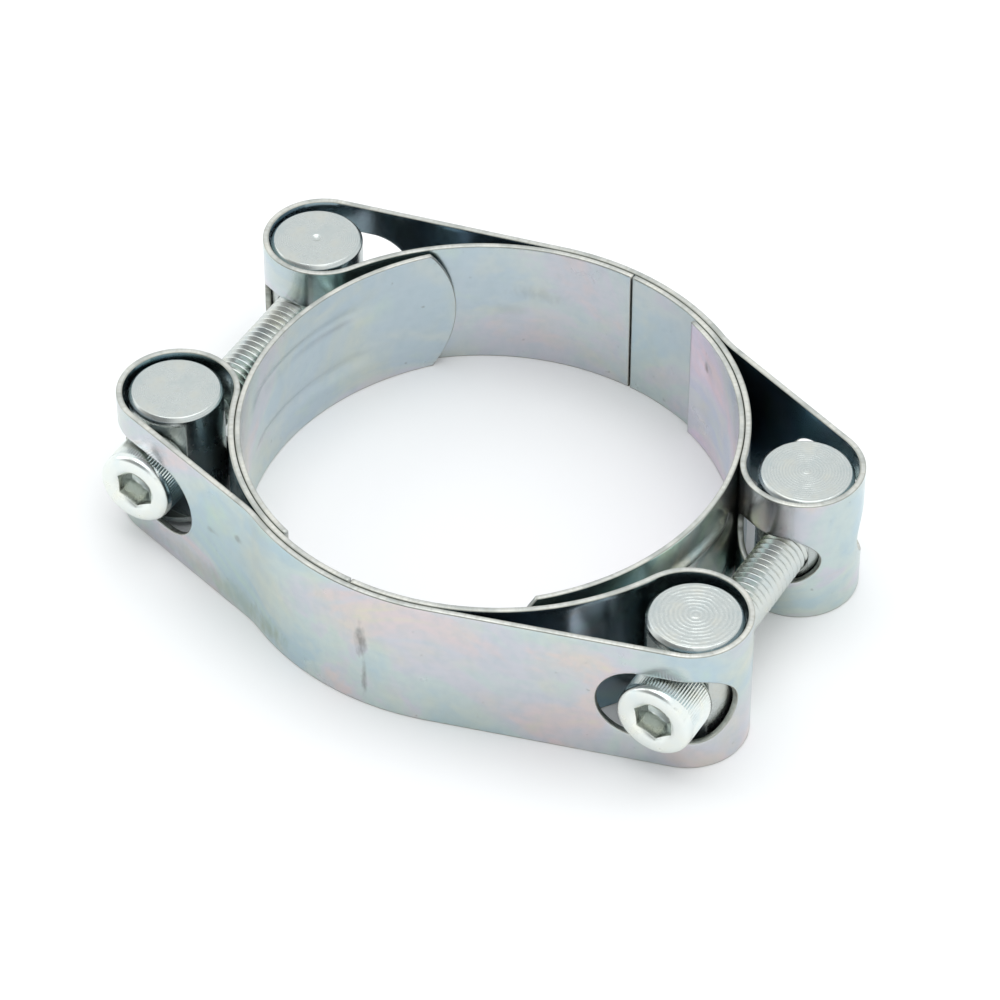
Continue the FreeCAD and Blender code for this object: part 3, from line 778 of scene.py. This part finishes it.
def make_trunnion(node, body, kind, pitch, depth, wander):
    """A cross-bored bar. kind: the middle of its ends; the rest: the rings on them."""
    low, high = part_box(node)
    centre = TRUNNIONS[node].copy()
    centre.z = MID
    radius = (high.x - low.x) / 2
    half = (high.z - low.z) / 2
    chamfer = TRUNNION_CHAMFER
    tip = {"dimple": -0.5 * MM, "nub": 0.12 * MM, "plain": -0.05 * MM}[kind]
    spot = {"dimple": 0.9 * MM, "nub": 0.7 * MM, "plain": 0.8 * MM}[kind]
    ring = 4.5 * MM
    top = [(radius - chamfer, half), (ring, half), (spot * 1.6, half), (spot, half), (0, half + tip)]
    upper = [(radius, half - chamfer * 1.6), (radius, half - chamfer)] + top
    lower = [(r, -y) for r, y in reversed(upper)]
    profile = rounded(lower + upper, TRUNNION_CORNER)
    segments = 128

    def place(r, angle, y):
        return centre + Vector((r * math.cos(angle), r * math.sin(angle), y))

    def local(r, angle, y):
        return (r * math.cos(angle), r * math.sin(angle), y)

    zinc = zinc_bar(f"{node}_zinc", pitch, depth, wander)
    bar = turned(f"{node}_bar", profile, segments, place, local, [zinc])
    drill = bmesh.new()
    along_y = Matrix.Translation(centre) @ Matrix.Rotation(math.pi / 2, 4, "X")
    bmesh.ops.create_cone(drill, cap_ends=True, segments=72, radius1=BORE, radius2=BORE,
                          depth=radius * 3, matrix=along_y)
    carve(bar, cutter_from(drill))
    if "front" in node:
        mill = bmesh.new()
        size = Vector((radius * 3, radius, (half - SEAT_RIM) * 2))
        shift = centre + Vector((0, -SEAT - radius / 2, 0))
        block = Matrix.Translation(shift) @ Matrix.Diagonal((*size, 1))
        bmesh.ops.create_cube(mill, size=1.0, matrix=block)
        carve(bar, cutter_from(mill))
    bar.data.set_sharp_from_angle(angle=math.radians(38))
    settle(bar, body, node)


def cutter_from(work):
    mesh = bpy.data.meshes.new("cutter")
    work.to_mesh(mesh)
    work.free()
    piece = bpy.data.objects.new("cutter", mesh)
    bpy.context.scene.collection.objects.link(piece)
    return piece


def make_screw(node, body, turn):
    """A socket head cap screw along +Y: knurled head, hexagon socket and rolled thread.
    turn: of the socket about the screw's axis."""
    low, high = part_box(node)
    centre = (low + high) / 2
    head = (high.x - low.x) / 2
    length = high.y - low.y
    apothem = SOCKET_FLATS / 2
    mouth = apothem / math.cos(math.pi / 6)
    segments = KNURLS * 4

    def place(r, angle, y):
        across = r * math.sin(angle + turn)
        up = r * math.cos(angle + turn)
        return Vector((centre.x + across, low.y + y, centre.z + up))

    def local(r, angle, y):
        return (r * math.sin(angle), y, r * math.cos(angle))

    def hexagon(angle, grow=0.0):
        sixth = math.pi / 3
        return (apothem + grow) / math.cos((angle + sixth / 2) % sixth - sixth / 2)

    def ridged(share):
        def radius(angle):
            wave = abs(math.sin(KNURLS * angle / 2))
            return head - KNURL_DEPTH * share * wave
        return radius

    rim = 1.35 * MM
    slope = 0.35
    knurl_end = HEAD_HEIGHT - 0.7 * MM
    neck = 3.9 * MM
    profile = [
        (0, SOCKET_DEPTH + SOCKET_CONE),
        (apothem * 0.96, SOCKET_DEPTH + 0.02 * MM),
        (apothem * 0.985, SOCKET_DEPTH),
        (lambda a: hexagon(a, -0.02 * MM), SOCKET_DEPTH - 0.1 * MM),
        (hexagon, SOCKET_DEPTH - 0.3 * MM),
        (hexagon, SOCKET_DEPTH / 2),
        (hexagon, lambda a: 0.30 * MM + slope * (mouth - hexagon(a))),
        (lambda a: hexagon(a, 0.03 * MM), lambda a: 0.25 * MM + slope * (mouth - hexagon(a))),
        (mouth + 0.08 * MM, 0.20 * MM),
        (mouth + 0.38 * MM, 0.03 * MM),
        (mouth + 0.50 * MM, 0.0),
        ((mouth + head) / 2, 0.0),
        (head - rim * 0.75, 0.0),
        (head - rim * 0.50, 0.05 * MM),
        (head - rim * 0.28, 0.20 * MM),
        (head - rim * 0.12, 0.45 * MM),
        (head - rim * 0.03, 0.80 * MM),
        (head - 0.01 * MM, rim),
        (ridged(0.25), rim + 0.12 * MM),
        (ridged(1.0), rim + 0.40 * MM),
        (ridged(1.0), knurl_end * 0.6),
        (ridged(1.0), knurl_end - 0.3 * MM),
        (ridged(0.3), knurl_end),
        (head - 0.12 * MM, HEAD_HEIGHT - 0.2 * MM),
        (head - 0.35 * MM, HEAD_HEIGHT),
        (neck, HEAD_HEIGHT),
        (0, HEAD_HEIGHT),
    ]
    in_socket = 6
    indices = [1] * in_socket + [0] * (len(profile) - 1 - in_socket)
    # The socket gets a darker copy of the head colour, as painted shade in the recess.
    zincs = [zinc_screw(f"{node}_head_zinc", HEAD_LIGHTNESS),
             zinc_screw(f"{node}_socket_shaded_zinc", SOCKET_SHADE_LIGHTNESS)]
    piece = turned(f"{node}_head", profile, segments, place, local, zincs, indices)
    piece.data.set_sharp_from_angle(angle=math.radians(50))
    settle(piece, body, node)

    thread_zinc = zinc_screw(f"{node}_thread_zinc", THREAD_LIGHTNESS)
    thread = make_thread(f"{node}_thread", thread_zinc, length, place, local)
    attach(thread, body)
    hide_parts(node)


def make_thread(name, zinc, length, place, local):
    """A right-hand helical thread with chamfered tip, sheared so that its crests are lines."""
    crest = 4.0 * MM - 0.01 * MM
    root = 3.27 * MM
    tip = 3.0 * MM
    start = HEAD_HEIGHT - 0.5 * MM
    profile = [(0.0, root), (0.10, root), (0.16, root + 0.06 * MM), (0.44, crest - 0.05 * MM),
               (0.49, crest), (0.60, crest), (0.65, crest - 0.05 * MM), (0.93, root + 0.06 * MM)]
    taper = 0.9
    around = 72
    turns = math.ceil((length - start) / THREAD_PITCH) + 2
    vertices = []
    values = []
    rows = []
    for i in range(around + 1):
        row = []
        angle = 2 * math.pi * i / around
        for lap in range(-1, turns):
            for offset, radius in profile:
                y = start + (lap + offset + i / around) * THREAD_PITCH
                y = min(max(y, start), length)
                r = min(radius, tip + (length - y) * taper)
                row.append(len(vertices))
                vertices.append(place(r, angle, y))
                values.append(local(r, angle, y))
        rows.append(row)
    faces = []
    for before, after in zip(rows[:-1], rows[1:]):
        for k in range(len(before) - 1):
            faces.append([before[k], after[k], after[k + 1], before[k + 1]])
    for k, y in ((0, start), (-1, length)):
        hub = len(vertices)
        vertices.append(place(0.0, 0.0, y))
        values.append(local(0.0, 0.0, y))
        for before, after in zip(rows[:-1], rows[1:]):
            faces.append([hub, before[k], after[k]])
    thread = finish_mesh(name, vertices, faces, [zinc], [0] * len(faces), {"local": values})
    work = bmesh.new()
    work.from_mesh(thread.data)
    bmesh.ops.remove_doubles(work, verts=work.verts, dist=2e-6)
    bmesh.ops.recalc_face_normals(work, faces=work.faces)
    work.to_mesh(thread.data)
    work.free()
    thread.data.set_sharp_from_angle(angle=math.radians(60))
    return thread


# ---------------------------------------------------------------- the studio


def make_floor():
    work = bmesh.new()
    bmesh.ops.create_grid(work, x_segments=2, y_segments=2, size=3.0)
    mesh = bpy.data.meshes.new("floor")
    work.to_mesh(mesh)
    work.free()
    floor = bpy.data.objects.new("floor", mesh)
    bpy.context.scene.collection.objects.link(floor)
    n = Nodes("paper")
    n.feed(n.shader, "Base Color", PAPER)
    n.feed(n.shader, "Roughness", 0.9)
    n.feed(n.shader, "Specular IOR Level", 0.1)
    mesh.materials.append(n.material)


def make_light(name, position, side, power):
    """A square soft box that faces the middle of the part."""
    data = bpy.data.lights.new(name, "AREA")
    data.shape = "RECTANGLE"
    data.size = side
    data.size_y = side
    data.energy = power
    lamp = bpy.data.objects.new(name, data)
    bpy.context.scene.collection.objects.link(lamp)
    lamp.location = position
    lamp.rotation_mode = "QUATERNION"
    lamp.rotation_quaternion = (-Vector(position)).to_track_quat("-Z", "Y")


def make_world():
    """A light tent, white all round but for a dim opening at the front left."""
    world = bpy.data.worlds.new("tent")
    world.use_nodes = True
    tree = world.node_tree
    background = tree.nodes["Background"]
    direction = tree.nodes.new("ShaderNodeTexCoord").outputs["Generated"]
    dim_way = Vector((-0.30, -0.72, 0.62)).normalized()
    facing = tree.nodes.new("ShaderNodeVectorMath")
    facing.operation = "DOT_PRODUCT"
    facing.inputs[1].default_value = dim_way
    tree.links.new(direction, facing.inputs[0])
    level = tree.nodes.new("ShaderNodeMapRange")
    level.interpolation_type = "SMOOTHSTEP"
    settings = {"From Min": 0.72, "From Max": 0.95, "To Min": 1.13, "To Max": 0.35}
    for socket, value in settings.items():
        level.inputs[socket].default_value = value
    tree.links.new(facing.outputs["Value"], level.inputs["Value"])
    tree.links.new(level.outputs["Result"], background.inputs["Strength"])
    background.inputs["Color"].default_value = TENT
    bpy.context.scene.world = world


def make_camera():
    azimuth = math.radians(29.66)
    elevation = math.radians(42.87)
    distance = 0.7823
    target = Vector((-0.0027, 0.0069, 0))
    level = math.cos(elevation)
    back = Vector((math.sin(azimuth) * level, -math.cos(azimuth) * level, math.sin(elevation)))
    data = bpy.data.cameras.new("camera")
    data.lens = 172.1
    data.sensor_width = 36.0
    camera = bpy.data.objects.new("camera", data)
    bpy.context.scene.collection.objects.link(camera)
    camera.location = target + back * distance
    camera.rotation_mode = "QUATERNION"
    camera.rotation_quaternion = (-back).to_track_quat("-Z", "Y")
    bpy.context.scene.camera = camera


def main():
    edge = zinc_edge("sheared_edge")
    make_bands(edge)
    make_tongues(edge)
    # The middle of the ends, then the pitch, depth and wander of the rings on them.
    faces = {
        "left_nut_trunnion": ("dimple", 0.35 * MM, 0.010 * MM, 5.0),
        "right_nut_trunnion": ("nub", 0.48 * MM, 0.030 * MM, 1.5),
        "left_front_trunnion": ("plain", 0.30 * MM, 0.008 * MM, 5.0),
        "right_front_trunnion": ("nub", 0.75 * MM, 0.05 * MM, 7.0),
    }
    for node, face in faces.items():
        make_trunnion(node, node, *face)
    make_screw("left_screw", "left_screw", math.radians(28))
    make_screw("right_screw", "right_screw", math.radians(22))
    make_floor()
    make_world()
    make_light("overhead", (0, 0.05, 0.8), 0.7, 1.8)
    make_light("left_box", (-0.8, -0.1, 0.5), 0.5, 0.7)
    make_camera()
    bpy.context.scene.view_settings.view_transform = "Standard"


main()
